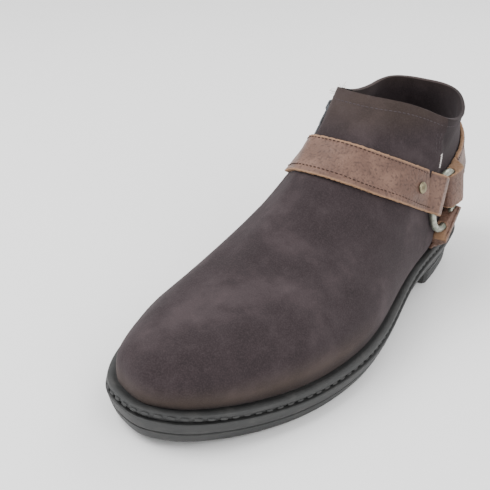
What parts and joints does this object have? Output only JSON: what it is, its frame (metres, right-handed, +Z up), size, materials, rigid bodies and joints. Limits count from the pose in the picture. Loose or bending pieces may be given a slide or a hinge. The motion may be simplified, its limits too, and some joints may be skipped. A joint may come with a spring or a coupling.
{
  "type": "harness chukka boot",
  "caption": "Low leather ankle boot, left foot, with a brown strap harness held by a ring at the outer side, a side zip and a black rubber sole with a low heel.",
  "frame": {"origin": "on the floor, under the middle of the heel seat", "axes": "+Z up, the toe points towards -Y, +X is the outer (lateral) side of the left foot"},
  "size_m": [0.1107, 0.308, 0.123],
  "materials": {
    "sole_rubber": "matte moulded",
    "nubuck": "napped",
    "lining": "matte",
    "strap_leather": "pebbled",
    "aged_metal": "antiqued",
    "zip_fabric": "woven",
    "zip_coil": "satin",
    "zip_metal": "gunmetal"
  },
  "bodies": {
    "root": {"outsole": "sole_rubber", "welt": "sole_rubber", "heel": "sole_rubber", "insole": "lining", "upper": "nubuck", "rivet_instep": "aged_metal", "instep_strap": "strap_leather", "rivet_heel": "aged_metal", "heel_strap": "strap_leather", "sole_strap": "strap_leather", "zip_tape": "zip_fabric", "zip_coil": "zip_coil", "zip_slider": "zip_metal"},
    "ring": {"harness_ring": "aged_metal"},
    "pull_tab": {"zip_pull": "zip_metal"}
  },
  "joints": [
    {"name": "ring_turn", "type": "hinge", "parent": "root", "child": "ring", "pos_m": [0.04345, -0.03977, 0.0597], "axis": [0.9982, 0.0079, 0.0588], "continuous": true},
    {"name": "pull_swing", "type": "hinge", "parent": "root", "child": "pull_tab", "pos_m": [-0.03108, -0.04963, 0.10387], "axis": [-0.1254, 0.9699, -0.2086], "range_deg": [0, 150]}
  ]
}
